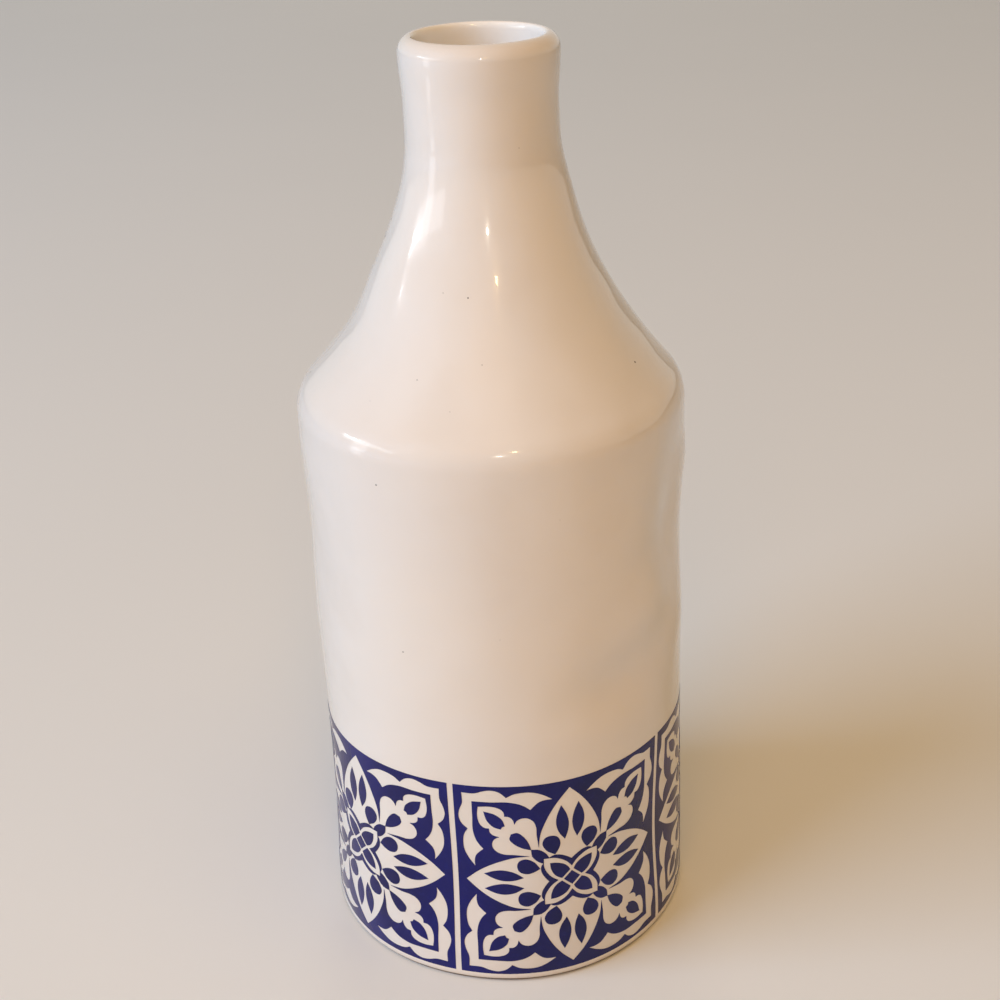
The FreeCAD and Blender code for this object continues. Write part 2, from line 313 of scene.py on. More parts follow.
def waist(height):
    """How far the real wall stands out from the straight one at this height."""
    heights, offsets = zip(*WAIST)
    if height <= WAIST[1][0]:
        return float(np.interp(height, heights, offsets))
    near = np.linspace(height - WAIST_SOFT, height + WAIST_SOFT, WAIST_SAMPLES)
    return float(np.mean(np.interp(near, heights, offsets)))


def section():
    """The whole outline, from the middle of the underside out, up, over the lip and down to the floor."""
    recess_centre = (FOOT_INSIDE - RECESS_CORNER, RECESS - RECESS_CORNER)
    under = (run((0, RECESS), (recess_centre[0], RECESS), HIDDEN_STEP)
             + arc(recess_centre, RECESS_CORNER, math.pi / 2, 0, CORNER_STEP))
    wall = [(radius + waist(height), height) for radius, height in skin(0, WALL_START)]
    lip_half = (LIP_FLARE + WALL) / 2
    lip_centre = (NECK_RADIUS + LIP_FLARE - lip_half, TOP - LIP_RISE)
    neck = run((NECK_RADIUS, NECK_TOP), (NECK_RADIUS, FLARE_TOP))[1:]
    flare = [(NECK_RADIUS + LIP_FLARE * (1 - math.cos(math.pi * share)) / 2,
              FLARE_TOP + (lip_centre[1] - FLARE_TOP) * share)
             for share in np.arange(FLARE_ROWS) / FLARE_ROWS]
    lip = [(lip_centre[0] + lip_half * math.cos(turn) - LIP_LEAN * math.sin(turn) ** 2,
            lip_centre[1] + LIP_RISE * math.sin(turn)) for turn in np.linspace(0, math.pi, LIP_ROWS)]
    bore = run((NECK_RADIUS - WALL, lip_centre[1]), (NECK_RADIUS - WALL, NECK_TOP), BORE_STEP)[1:]
    inner = skin(WALL, FLOOR_LEVEL + FLOOR_CORNER)[::-1][::2]
    corner_centre = (WALL_RADIUS - WALL - FLOOR_CORNER, FLOOR_LEVEL + FLOOR_CORNER)
    corner = arc(corner_centre, FLOOR_CORNER, 0, -math.pi / 2)[1:]
    floor = run((corner_centre[0], FLOOR_LEVEL), (0, FLOOR_LEVEL), HIDDEN_STEP)[1:] + [(0, FLOOR_LEVEL)]
    return [*under, *FOOT_RING, *GLAZE_ROLL, *wall, *neck, *flare, *lip, *bore, *inner, *corner, *floor]


outline = section()
gaps = [math.dist(first, second) for first, second in zip(outline, outline[1:])]
print("section of", len(outline), "points, steps of", round(min(gaps), 2), "to", round(max(gaps), 2), "mm")

# %% [markdown]
# The hand-made waviness
#
# The silhouette isn't a ruler's. The wall leans in where two tiles meet, swells between them, and has
# soft flats and bulges up its sides, from fettling and from the kiln. Each one is a smooth dent with a
# direction, a height, a spread, a size and a depth. One node group sums them, and the vase and its
# prints both use it, so what lies on the glaze stays on it.

# %% The dents
# degrees round from the front, height, spread in degrees, half height, depth outwards
DENTS = (
    (-17, 40, 14, 20, -2.4), (53, 40, 14, 20, -1.9), (18.6, 44, 15, 28, 0.8), (-53, 42, 12, 24, 0.3),
    (-84, 221, 22, 7, 0.6), (-84, 207, 24, 9, -1.2), (-82, 111, 22, 14, 0.5), (-82, 143, 22, 12, -0.35),
    (84, 186, 22, 8, -0.8), (82, 137, 25, 15, -1.0), (85, 249, 20, 9, 0.9), (84, 172, 14, 4, -0.35),
    (84, 162, 14, 5, 0.4), (125, 45, 15, 22, -1.5), (198, 42, 15, 22, -1.1), (-90, 44, 14, 22, -1.3),
    (160, 128, 26, 30, -0.6), (-140, 100, 24, 26, 0.5), (150, 214, 24, 14, -0.7), (-135, 225, 26, 12, 0.4),
    (50, 128, 8, 8, 1.7), (64, 150, 9, 16, -2.4), (38, 104, 11, 8, -2.3), (26, 91, 12, 6, 0.8),
    (68, 112, 8, 8, 1.2),
    (-62, 138, 12, 24, -0.7), (-45, 96, 14, 11, -0.45), (5, 163, 18, 13, -0.35), (-75, 170, 14, 8, 0.4),
    (10, 130, 30, 26, -0.3), (-30, 214, 26, 12, -0.3), (35, 240, 30, 14, 0.3),
)
STILL_REACH, FREE_REACH = 4.0, 16.0     # the dents leave the middle alone, and are whole from here on


def facing(degrees):
    """The level direction at this many degrees round from the front, towards the right."""
    return math.sin(math.radians(degrees)), -math.cos(math.radians(degrees)), 0


print(len(DENTS), "dents, the deepest", min(dent[-1] for dent in DENTS), "mm")

# %% One group for all that follows the wall


def dent_group():
    """One dent: how far it moves a place outwards, which fades with the distance from its middle.

    Both up the wall and round it the fading is a bell curve: near its middle the cosine of the angle,
    less one, is minus half the angle's square."""
    tree, given, result = new_tree("one_dent", (
        ("Position", "Vector"), ("Facing", "Vector"), ("Height", "Float"), ("Spread", "Float", 0.25),
        ("Size", "Float", 0.02), ("Depth", "Float")), (("Offset", "Float"),))
    place, way, height, spread, size, depth = list(given.outputs)[:-1]     # the last one is empty
    level = add(tree, VECTOR_MATH, (place, (1, 1, 0)), operation="MULTIPLY")
    outward = add(tree, VECTOR_MATH, (level,), operation="NORMALIZE")
    turned = add(tree, VECTOR_MATH, (outward, way), operation="DOT_PRODUCT").outputs["Value"]
    past = add(tree, MATH, (turned, 1.0), operation="SUBTRACT")
    spread_squared = add(tree, MATH, (spread, spread), operation="MULTIPLY")
    aside = add(tree, MATH, (past, spread_squared), operation="DIVIDE")
    up = add(tree, "ShaderNodeSeparateXYZ", (place,)).outputs["Z"]
    above = add(tree, MATH, (up, height), operation="SUBTRACT")
    rise = add(tree, MATH, (above, size), operation="DIVIDE")
    squared = add(tree, MATH, (rise, rise), operation="MULTIPLY")
    halved = add(tree, MATH, (squared, 0.5), operation="MULTIPLY")
    away = add(tree, MATH, (aside, halved), operation="SUBTRACT")
    strength = add(tree, MATH, (away,), operation="EXPONENT")
    offset = add(tree, MATH, (strength, depth), operation="MULTIPLY")
    tree.links.new(offset.outputs[0], result.inputs["Offset"])
    return tree


def waviness_group(one_dent):
    """Moves a place out or in by the sum of all dents, and leaves the middle of the floor alone."""
    tree, given, result = new_tree("waviness", (("Position", "Vector"),), (("Position", "Vector"),))
    place = given.outputs["Position"]
    total = 0.0
    for degrees, height, spread, size, depth in DENTS:
        dent = add(tree, "GeometryNodeGroup", {
            "Position": place, "Facing": facing(degrees), "Height": height * MM, "Depth": depth * MM,
            "Spread": math.radians(spread), "Size": size * MM}, node_tree=one_dent)
        total = add(tree, MATH, (total, dent), operation="ADD")
    level = add(tree, VECTOR_MATH, (place, (1, 1, 0)), operation="MULTIPLY")
    reach = add(tree, VECTOR_MATH, (level,), operation="LENGTH").outputs["Value"]
    share = add(tree, RANGE, {
        "Value": reach, "From Min": STILL_REACH * MM, "From Max": FREE_REACH * MM})
    outward = add(tree, VECTOR_MATH, (level,), operation="NORMALIZE")
    distance = add(tree, MATH, (total, share), operation="MULTIPLY")
    step = add(tree, VECTOR_MATH, {0: outward, "Scale": distance}, operation="SCALE")
    moved = add(tree, VECTOR_MATH, (place, step), operation="ADD")
    tree.links.new(moved.outputs[0], result.inputs["Position"])
    return tree


waviness = waviness_group(dent_group())
print("waviness sums", sum(node.bl_idname == "GeometryNodeGroup" for node in waviness.nodes), "dents")

# %% [markdown]
# Turning the section into the vase
#
# A Spin or a Screw modifier would turn the section too, but a Geometry Nodes tree lets the same graph
# add the dents and give the bare foot its own finish. It lays a grid, gives each column the section's
# points turned a little further round, welds the seam and the two poles, and then presses the dents in.

# %% An object made by a tree, and the plain mesh of it


def tree_object(name, mesh, tree, values):
    """An object with the tree on it, its inputs set by their sockets' identifiers."""
    thing = bpy.data.objects.new(name, mesh)
    scene.collection.objects.link(thing)
    modifier = thing.modifiers.new("shape", "NODES")
    modifier.node_group = tree
    for item in tree.interface.items_tree:
        if item.in_out == "INPUT" and item.name in values:
            modifier[item.identifier] = values[item.name]
    return thing


def as_plain_mesh(thing, tidy_normals=True):
    """Swap the object's tree for the mesh that it makes, with every face pointing out."""
    result = bpy.data.meshes.new_from_object(thing.evaluated_get(bpy.context.evaluated_depsgraph_get()))
    thing.modifiers.clear()
    thing.data = result
    for index in reversed(range(len(result.materials))):
        if result.materials[index] is None:
            result.materials.pop(index=index)
    if tidy_normals:
        shape = bmesh.new()
        shape.from_mesh(result)
        bmesh.ops.recalc_face_normals(shape, faces=shape.faces)
        shape.to_mesh(result)
        shape.free()
    return thing


section_mesh = bpy.data.meshes.new("section")
section_mesh.from_pydata([(radius * MM, 0, height * MM) for radius, height in outline],
                         [(index, index + 1) for index in range(len(outline) - 1)], [])
print("section mesh", len(section_mesh.vertices), "points")

# %% The vase's tree
AROUND = 256                        # faces round the vase
CLAY_LINE, RING_REACH = 1.17, 52.6  # bare clay is below this height, and further out than this
WELD = 0.001                        # points closer than this become one


def revolve_tree(wavy):
    """The section turned round the axis, pressed by the dents, with the foot ring left bare."""
    tree, given, result = new_tree("turn_section", (
        ("Section", "Geometry"), ("Around", "Int", AROUND), ("Clay Line", "Float"),
        ("Ring Inside", "Float"), ("Glaze", "Material"), ("Clay", "Material")), (("Geometry", "Geometry"),))
    position = add(tree, "GeometryNodeInputPosition")
    rows = add(tree, "GeometryNodeAttributeDomainSize", {"Geometry": given.outputs["Section"]},
               component="MESH").outputs["Point Count"]
    columns = add(tree, MATH, (given.outputs["Around"], 1), operation="ADD")
    grid = add(tree, "GeometryNodeMeshGrid", {"Vertices X": columns, "Vertices Y": rows})
    index = add(tree, "GeometryNodeInputIndex")
    row = add(tree, MATH, (index, rows), operation="MODULO")
    middle = add(tree, MATH, (index, 0.5), operation="ADD")     # so that no rounding changes the column
    passed = add(tree, MATH, (middle, rows), operation="DIVIDE")
    column = add(tree, MATH, (passed,), operation="FLOOR")
    point = add(tree, "GeometryNodeSampleIndex", {
        "Geometry": given.outputs["Section"], "Value": position, "Index": row},
        data_type="FLOAT_VECTOR", domain="POINT")
    turns = add(tree, MATH, (column, 2 * math.pi), operation="MULTIPLY")
    angle = add(tree, MATH, (turns, given.outputs["Around"]), operation="DIVIDE")
    turned = add(tree, "ShaderNodeVectorRotate", {"Vector": point, "Axis": (0, 0, 1), "Angle": angle})
    shell = add(tree, "GeometryNodeSetPosition", {"Geometry": grid, "Position": turned})
    welded = add(tree, "GeometryNodeMergeByDistance", {"Geometry": shell, "Distance": WELD * MM})
    pressed = add(tree, "GeometryNodeGroup", {"Position": position}, node_tree=wavy)
    formed = add(tree, "GeometryNodeSetPosition", {"Geometry": welded, "Position": pressed})
    real = add(tree, "GeometryNodeRealizeInstances", {"Geometry": formed})
    smooth = add(tree, "GeometryNodeSetShadeSmooth", {"Geometry": real, "Shade Smooth": True})
    glazed = add(tree, "GeometryNodeSetMaterial", {"Geometry": smooth, "Material": given.outputs["Glaze"]})
    place = add(tree, "ShaderNodeSeparateXYZ", (position,))
    level = add(tree, "ShaderNodeCombineXYZ", (place.outputs["X"], place.outputs["Y"]))
    reach = add(tree, VECTOR_MATH, (level,), operation="LENGTH").outputs["Value"]
    low = add(tree, "FunctionNodeCompare", {"A": place.outputs["Z"], "B": given.outputs["Clay Line"]},
              operation="LESS_THAN")
    outer = add(tree, "FunctionNodeCompare", {"A": reach, "B": given.outputs["Ring Inside"]},
                operation="GREATER_THAN")
    ring = add(tree, "FunctionNodeBooleanMath", (low, outer), operation="AND")
    bare = add(tree, "GeometryNodeSetMaterial", {
        "Geometry": glazed, "Selection": ring, "Material": given.outputs["Clay"]})
    tree.links.new(bare.outputs[0], result.inputs["Geometry"])
    return tree


vase = as_plain_mesh(tree_object("glazed_vase", section_mesh, revolve_tree(waviness), {
    "Around": AROUND, "Clay Line": CLAY_LINE * MM, "Ring Inside": RING_REACH * MM,
    "Glaze": white_glaze, "Clay": bare_clay}))
print("vase", len(vase.data.vertices), "points", len(vase.data.polygons), "faces",
      [material.name for material in vase.data.materials],
      "of them bare", sum(face.material_index == 1 for face in vase.data.polygons))

# %% [markdown]
# The tile's ornament
#
# Each square carries a traditional floral tile pattern: four long petals on a knot, four palmettes
# between them, and a bracket in each corner, left white on a blue ground. Only one motif of each kind is
# drawn here, with a few points that a smooth line goes through, and then it is mirrored and turned. The
# blue itself becomes a thin raised film, as a fired transfer is, and the white is the glaze beside it.

# %% Lines through points
TILE_HALF = 36.75
LINE_STEP = 0.55                    # millimetres between points on a curved outline
LEAST_GAP = 1e-6                    # so that two points in one place don't divide by nothing


def smooth_run(points):
    """A smooth line through the points, from the first to the last, without its last.

    Between two points it is a cubic, whose slopes at both ends are weighed by the root of the gaps
    beside them, so that it doesn't loop where a short gap meets a long one."""
    points = [Vector(point) for point in points]
    if len(points) == 2:
        return [points[0]]
    ends = [2 * points[0] - points[1], *points, 2 * points[-1] - points[-2]]
    line = []
    for before, start, end, after in zip(ends, ends[1:], ends[2:], ends[3:]):
        gaps = [max(LEAST_GAP, (second - first).length) ** 0.5
                for first, second in ((before, start), (start, end), (end, after))]
        leave = ((start - before) / gaps[0] - (end - before) / (gaps[0] + gaps[1])
                 + (end - start) / gaps[1]) * gaps[1]
        arrive = ((end - start) / gaps[1] - (after - start) / (gaps[1] + gaps[2])
                  + (after - end) / gaps[2]) * gaps[1]
        count = max(2, round((end - start).length / LINE_STEP))
        for share in np.arange(count) / count:
            squared, cubed = share ** 2, share ** 3
            line.append(start * (2 * cubed - 3 * squared + 1) + leave * (cubed - 2 * squared + share)
                        + end * (3 * squared - 2 * cubed) + arrive * (cubed - squared))
    return line


def closed(*runs):
    """One outline from runs that meet in corners: each run ends where the next one starts."""
    return [tuple(point) for each in runs for point in smooth_run(each)]


print("a tile is", 2 * TILE_HALF, "mm wide")

# %% Mirrors and turns
UPRIGHT, DIAGONAL = (0, 1), (-1, 1)     # the two lines that the motifs are mirrored in


def mirrored(shape, axis):
    """The shape seen in a mirror along an axis, walked the other way."""
    across = Vector((axis[1], -axis[0])).normalized()
    return [tuple(Vector(point) - 2 * Vector(point).dot(across) * across) for point in reversed(shape)]


def both_halves(runs, axis):
    """Runs from one point of the axis to another, closed by their mirror image."""
    return closed(*runs, *[mirrored(each, axis) for each in reversed(runs)])


def both_sides(shape, axis):
    """The shape, and its mirror image beside it."""
    return [shape, mirrored(shape, axis)]


def all_round(shapes):
    """The shapes at all four sides of the tile."""
    return [[(x * cos - y * sin, x * sin + y * cos) for x, y in shape]
            for shape in shapes for cos, sin in ((1, 0), (0, 1), (-1, 0), (0, -1))]


print("a mirrored point", mirrored([(1.0, 0.0)], UPRIGHT))

# %% [markdown]
# The motifs
#
# Millimetres from the middle of the tile. The petal and what lies in it are drawn for the upper side, and
# the palmette and the bracket for the upper left corner.

# %% Petals, leaves and drops
petal = both_halves([
    [(0, 34.0), (-3.7, 29.9), (-6.5, 25.8), (-8.7, 21.3), (-9.8, 18.0), (-10.4, 13.0)],
    [(-10.4, 13.0), (-9.0, 10.6), (-6.0, 8.0), (0, 4.0)]], UPRIGHT)
slot_blade = closed([(-2.9, 28.0), (-4.3, 24.6), (-4.7, 21.6), (-3.9, 18.2), (-2.0, 15.3)],
                    [(-2.0, 15.3), (-0.9, 18.4), (-0.6, 21.6), (-1.4, 25.0), (-2.9, 28.0)])
drop = closed([(-5.3, 10.1), (-8.0, 12.0), (-9.2, 14.6), (-8.3, 16.7), (-6.3, 17.3), (-4.3, 16.5),
               (-3.5, 14.3), (-4.1, 12.0), (-5.3, 10.1)])
diagonal_leaf = both_halves([[(-12.8, 12.8), (-12.5, 10.3), (-10.9, 8.2), (-8.0, 6.6)],
                             [(-8.0, 6.6), (-4.0, 4.0)]], DIAGONAL)
print("petal", len(petal), "points, drop", len(drop))

# %% Palmette and its slots
palmette = both_halves([
    [(-29.0, 29.0), (-26.1, 29.3), (-23.7, 29.1), (-21.8, 28.3), (-20.9, 27.1), (-20.8, 25.7)],
    [(-20.8, 25.7), (-19.3, 25.5), (-18.2, 24.4), (-17.7, 22.6)],
    [(-17.7, 22.6), (-17.0, 23.9), (-15.6, 24.8), (-13.6, 24.8), (-11.8, 23.4), (-11.0, 21.2),
     (-10.9, 18.0), (-10.3, 12.9)],
    [(-10.3, 12.9), (-9.0, 9.0)]], DIAGONAL)
bud_slot = both_halves([[(-27.3, 27.3), (-23.8, 26.3), (-21.5, 24.3), (-20.7, 22.0)],
                        [(-20.7, 22.0), (-21.6, 21.6)]], DIAGONAL)
teardrop = both_halves([[(-12.7, 12.7), (-13.5, 15.4), (-15.0, 17.9), (-16.9, 19.4), (-18.9, 18.9)]],
                       DIAGONAL)
print("palmette", len(palmette), "points")

# %% Corner bracket
bracket = both_halves([
    [(-34, 34), (-30, 34), (-27.2, 35), (-24.6, 35.4), (-22, 34.6), (-20, 32.7)],
    [(-20, 32.7), (-17.8, 33.9), (-14.5, 34.4), (-11.4, 34.1), (-8.4, 32.8), (-5.5, 30.8)],
    [(-5.5, 30.8), (-7.7, 30.9), (-9.8, 30.4), (-11.4, 29.1), (-12.6, 27.8)],
    [(-12.6, 27.8), (-14.3, 29.2), (-16.5, 30.3), (-20, 31), (-25, 30.9), (-30.9, 30.9)]], DIAGONAL)
print("bracket", len(bracket), "points")

# %% The knot in the middle
knot_quarter = [(0, 0), (-7.4, 0)] + closed(
    [(-7.4, 0), (-8.6, 1.6), (-9.7, 3.8), (-9.8, 6.0), (-8.2, 8.2), (-6.0, 9.8), (-3.8, 9.7), (-1.6, 8.6),
     (0, 7.4)]) + [(0, 7.4)]


def along_diagonal(points):
    """Points given as (distance along the diagonal, distance aside), on the upper left one."""
    half = math.sqrt(0.5)
    return [(-(out - aside) * half, (out + aside) * half) for out, aside in points]


band_outside = both_halves([
    along_diagonal([(12.6, 0), (10.0, 2.4), (6.3, 3.5), (3.3, 3.2), (0, 2.55)]),
    along_diagonal([(0, 2.55), (-0.1, 0)])], DIAGONAL)
band_inside = both_halves([
    along_diagonal([(9.9, 0), (8.3, 1.3), (5.9, 2.3), (3.9, 2.3), (2.7, 1.9)]),
    along_diagonal([(2.7, 1.9), (2.7, 0)])], DIAGONAL)
centre_square = [(-2.7, 0), (0, 2.7), (2.7, 0), (0, -2.7)]
print("knot", len(knot_quarter), "points, bands", len(band_outside), len(band_inside))

# %% [markdown]
# Painting the tile
#
# The shapes are laid over each other in order, as a painter would: blue ground, white motifs, blue
# details, white knot, blue inside it. A constrained triangulation cuts the square along every outline at
# once, and each triangle then takes the colour of the last shape that covers its middle. Upright cuts
# every two millimetres let the film bend round the wall.

# %% The layers of paint
BLUE, WHITE = True, False
square = [(-TILE_HALF, -TILE_HALF), (TILE_HALF, -TILE_HALF),
          (TILE_HALF, TILE_HALF), (-TILE_HALF, TILE_HALF)]
LAYERS = [
    (BLUE, [square]),
    (WHITE, all_round([petal, palmette, bracket])),
    (BLUE, all_round([*both_sides(slot_blade, UPRIGHT), *both_sides(drop, UPRIGHT), bud_slot, teardrop,
                      diagonal_leaf, knot_quarter])),
    (WHITE, all_round([band_outside])),
    (BLUE, [*all_round([band_inside]), centre_square]),
]
print("layers of", [len(shapes) for _, shapes in LAYERS], "shapes")

# %% The film's triangles
CUT_ACROSS, CUT_UP = 2.0, 6.0       # from one extra cut to the next
SAME_POINT = 1e-4                   # points closer than this are one to the triangulation


def inside(shape, points):
    """Which of the points lie in the shape."""
    corners = np.array(shape)
    ends = np.roll(corners, -1, axis=0)
    odd = np.zeros(len(points), dtype=bool)
    for (x1, y1), (x2, y2) in zip(corners, ends):
        if y1 == y2:
            continue
        crosses = (y1 > points[:, 1]) != (y2 > points[:, 1])
        reach = x1 + (points[:, 1] - y1) / (y2 - y1) * (x2 - x1)
        odd ^= crosses & (points[:, 0] < reach)
    return odd


def film_triangles():
    """The blue triangles of one tile, and their points."""
    points, edges = [], []
    for _, shapes in LAYERS:
        for shape in shapes:
            start, count = len(points), len(shape)
            points += [Vector(point) for point in shape]
            edges += [(start + index, start + (index + 1) % count) for index in range(count)]
    for reach, flip in ((CUT_ACROSS, False), (CUT_UP, True)):
        for offset in np.arange(-TILE_HALF + reach, TILE_HALF - reach / 2, reach):
            ends = [(offset, -TILE_HALF), (offset, TILE_HALF)]
            edges.append((len(points), len(points) + 1))
            points += [Vector(end[::-1] if flip else end) for end in ends]
    corners, _, triangles, *_ = delaunay_2d_cdt(points, edges, [], 0, SAME_POINT)
    corners = np.array([tuple(corner) for corner in corners])
    triangles = np.array([tuple(triangle) for triangle in triangles])
    middles = corners[triangles].mean(axis=1)
    blue = np.zeros(len(triangles), dtype=bool)
    for colour, shapes in LAYERS:
        for shape in shapes:
            blue[inside(shape, middles)] = colour
    kept = triangles[blue & inside(square, middles)]
    used, compact = np.unique(kept, return_inverse=True)
    return corners[used], compact.reshape(kept.shape)


film_points, film_faces = film_triangles()
print("film of one tile", len(film_points), "points", len(film_faces), "triangles")

# %% [markdown]
# Cobalt under the shine
#
# Cobalt fires to a deep violet blue. Where the transfer is thin it is lighter, and its dots and pulls give
# a faint mottle. It melts into the glaze, so it is nearly as glossy, with a barely raised edge.

# %% The printed blue
PRINT_IOR, PRINT_ROUGHNESS = 1.38, 0.14     # a print's fine dots break up a little of its mirror
PRINT_RIPPLE = 0.12
COBALT, COBALT_DEEP, COBALT_THIN = "#0F1368", "#0C0E4E", "#1A2276"
PULL_COAT, DOT_COAT = (0.35, 0.7, 1.0, COBALT_DEEP), (0.55, 0.8, 0.45, COBALT_THIN)
PULL_SIZE, DOT_SIZE = 26.0, 2.2             # a squeegee's pull, and a clump of dots, in millimetres


def make_cobalt():
    material, tree, where = new_material("cobalt_transfer_fired")
    pull = add(tree, NOISE, {"Vector": where, "Scale": cells(PULL_SIZE), "Detail": 3.0})
    dots = add(tree, NOISE, {"Vector": where, "Scale": cells(DOT_SIZE), "Detail": 3.0, "Roughness": 0.6})
    colour = paint(tree, COBALT, (pull, *PULL_COAT), (dots, *DOT_COAT))
    ripple = add(tree, NOISE, {"Vector": where, "Scale": cells(PEEL_SIZE), "Detail": 1.0})
    peel = add(tree, BUMP, {"Height": ripple, "Strength": PRINT_RIPPLE, "Distance": PEEL_DEPTH * MM})
    close_material(tree, Base_Color=colour, Roughness=PRINT_ROUGHNESS, IOR=PRINT_IOR, Normal=peel)
    return material


cobalt = make_cobalt()
print("print", cobalt.name)

# %% [markdown]
# Wrapping the film
#
# The flat film is in real millimetres, so wrapping it needs only its place round the wall: a step across
# is a turn, a step up is a height. The tree lifts it a hair off the glaze, closes it into a thin solid,
# and sends it through the same waist and dents as the vase.

# %% The waist as a curve in the tree
CURVE_TOP, CURVE_SPAN = 80.0, 4.0   # the curve covers these millimetres up, and out
CURVE_REST, CURVE_POINTS = 0.5, 17  # the curve's value where the wall is straight, and its points


def waist_curve(tree, height):
    """The waist's offset at a height, read from a curve that goes through waist()'s own values."""
    share = add(tree, MATH, (height, CURVE_TOP * MM), operation="DIVIDE")
    curve = add(tree, "ShaderNodeFloatCurve", {"Value": share})
    line = curve.mapping.curves[0]
    samples = [(along, CURVE_REST + waist(along * CURVE_TOP) / CURVE_SPAN)
               for along in np.linspace(0, 1, CURVE_POINTS)]
    for point, sample in zip(list(line.points), (samples[0], samples[-1])):
        point.location = sample
    for sample in samples[1:-1]:
        line.points.new(*sample)
    curve.mapping.update()
    centred = add(tree, MATH, (curve, CURVE_REST), operation="SUBTRACT")
    return add(tree, MATH, (centred, CURVE_SPAN * MM), operation="MULTIPLY")


print("waist at the foot", round(waist(0), 2), "and at the top of the row", round(waist(CURVE_TOP), 2))

# %% The film's tree
FILM_LIFT, FILM_SUNK = 0.09, 0.05   # above the glaze, and below it so that no light shows under the film


def wrap_tree(wavy):
    """A flat film wrapped round the wall as a thin closed solid."""
    tree, given, result = new_tree("wrap_film", (
        ("Film", "Geometry"), ("Wall Radius", "Float"), ("Facing", "Float"), ("Middle Height", "Float"),
        ("Lift", "Float"), ("Sunk", "Float"), ("Print", "Material")), (("Geometry", "Geometry"),))
    film, wall, way, middle, lift, sunk, blue = list(given.outputs)[:-1]   # the last one is empty
    flat = add(tree, "ShaderNodeSeparateXYZ", (add(tree, "GeometryNodeInputPosition"),))
    height = add(tree, MATH, (flat.outputs["Y"], middle), operation="ADD")
    waisted = add(tree, MATH, (wall, waist_curve(tree, height)), operation="ADD")
    radius = add(tree, MATH, (waisted, flat.outputs["Z"]), operation="ADD")
    along = add(tree, MATH, (flat.outputs["X"], wall), operation="DIVIDE")
    turn = add(tree, MATH, (way, along), operation="ADD")
    sine, cosine = (add(tree, MATH, (turn,), operation=wave) for wave in ("SINE", "COSINE"))
    right = add(tree, MATH, (sine, radius), operation="MULTIPLY")
    forward = add(tree, MATH, (cosine, radius), operation="MULTIPLY")
    back = add(tree, MATH, (forward, -1.0), operation="MULTIPLY")
    wrapped = add(tree, "ShaderNodeCombineXYZ", (right, back, height))
    pressed = add(tree, "GeometryNodeGroup", {"Position": wrapped}, node_tree=wavy)
    down = add(tree, MATH, (sunk, -1.0), operation="MULTIPLY")
    under = add(tree, "GeometryNodeSetPosition", {
        "Geometry": film, "Offset": add(tree, "ShaderNodeCombineXYZ", {"Z": down})})
    thickness = add(tree, MATH, (lift, sunk), operation="ADD")
    front = add(tree, "GeometryNodeExtrudeMesh", {
        "Mesh": under, "Offset": (0, 0, 1), "Individual": False, "Offset Scale": thickness}, mode="FACES")
    underside = add(tree, "GeometryNodeFlipFaces", {"Mesh": under})
    joined = add(tree, "GeometryNodeJoinGeometry")
    for part in (front, underside):
        tree.links.new(part.outputs[0], joined.inputs[0])
    solid = add(tree, "GeometryNodeMergeByDistance", {"Geometry": joined, "Distance": WELD * MM})
    on_wall = add(tree, "GeometryNodeSetPosition", {"Geometry": solid, "Position": pressed})
    real = add(tree, "GeometryNodeRealizeInstances", {"Geometry": on_wall})
    printed = add(tree, "GeometryNodeSetMaterial", {"Geometry": real, "Material": blue})
    tree.links.new(printed.outputs[0], result.inputs["Geometry"])
    return tree


film_tree = wrap_tree(waviness)
print("film tree", len(film_tree.nodes), "nodes")

# %% The five prints
TILE_COUNT, TILE_AZIMUTH, TILE_MIDDLE = 5, 18.6, 39.75

prints = []
for place in range(TILE_COUNT):
    film = bpy.data.meshes.new(f"film_{place + 1}")
    film.from_pydata([(x * MM, y * MM, 0) for x, y in film_points], [], film_faces.tolist())
    azimuth = math.radians(TILE_AZIMUTH + place * 360 / TILE_COUNT)
    prints.append(as_plain_mesh(tree_object(f"tile_print_{place + 1}", film, film_tree, {
        "Wall Radius": WALL_RADIUS * MM, "Facing": azimuth, "Middle Height": TILE_MIDDLE * MM,
        "Lift": FILM_LIFT * MM, "Sunk": FILM_SUNK * MM, "Print": cobalt}), tidy_normals=False))
print("one print", len(prints[0].data.polygons), "faces")

# %% [markdown]
# Iron specks
#
# Stoneware glaze always has a few dark specks, where a grain of iron in the clay melted through. They are
# under half a millimetre, and they are what tells the eye that this is fired clay and not plastic. The
# ones in the photograph are found by looking through the camera at the finished glaze, and a few more
# are strewn over the sides that it doesn't show. Geometry Nodes lay a small flat bead at each, turned
# to the glaze there.

# %% Where the specks lie
# pixel across, pixel down, size beside the usual speck
SPECK_PIXELS = ((443, 293, 0.55), (468, 298, 1.0), (482, 365, 0.6), (417, 380, 0.7), (370, 401, 0.4),
                (376, 485, 1.1), (403, 652, 1.0), (635, 362, 1.4), (519, 148, 0.5), (450, 412, 0.45),
                (560, 520, 0.4), (500, 640, 0.4))
HIDDEN_SPECKS, SPECK_SEED = 16, 4
HIDDEN_TURN, HIDDEN_HEIGHT, HIDDEN_SIZE = (70, 290), (85, 270), (0.4, 1.2)    # degrees, mm, usual specks


def pixel_aim(across, down):
    """The direction in which the camera sees a pixel of the photograph."""
    right, up, back = camera_axes()
    half = IMAGE_PIXELS / 2
    return (right * (across - half) - up * (down - half) - back * FOCAL_PIXELS).normalized()


